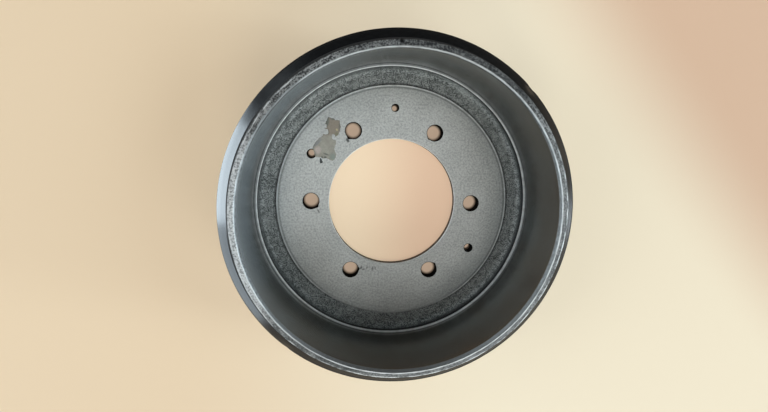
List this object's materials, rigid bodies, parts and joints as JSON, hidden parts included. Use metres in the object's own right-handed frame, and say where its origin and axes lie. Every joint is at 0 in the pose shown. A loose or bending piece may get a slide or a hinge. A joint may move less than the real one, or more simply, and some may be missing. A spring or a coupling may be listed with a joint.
{
  "type": "brake drum",
  "caption": "Cast-iron brake drum with a turned friction track, a belted rim, a pilot bore, a circle of stud holes and tapped jacking holes.",
  "frame": {"origin": "on the drum's axis, at the machined face that the wheel seats on", "axes": "+Z along the axis to the open end; +X through a stud hole"},
  "size_m": [0.2633, 0.2634, 0.0751],
  "materials": {
    "cast_iron": "turned bright grey on the track, faces and rim; rough as cast in the trough; thin gloss black on the outside"
  },
  "bodies": {
    "root": {"brake_drum": "cast_iron"}
  },
  "joints": []
}
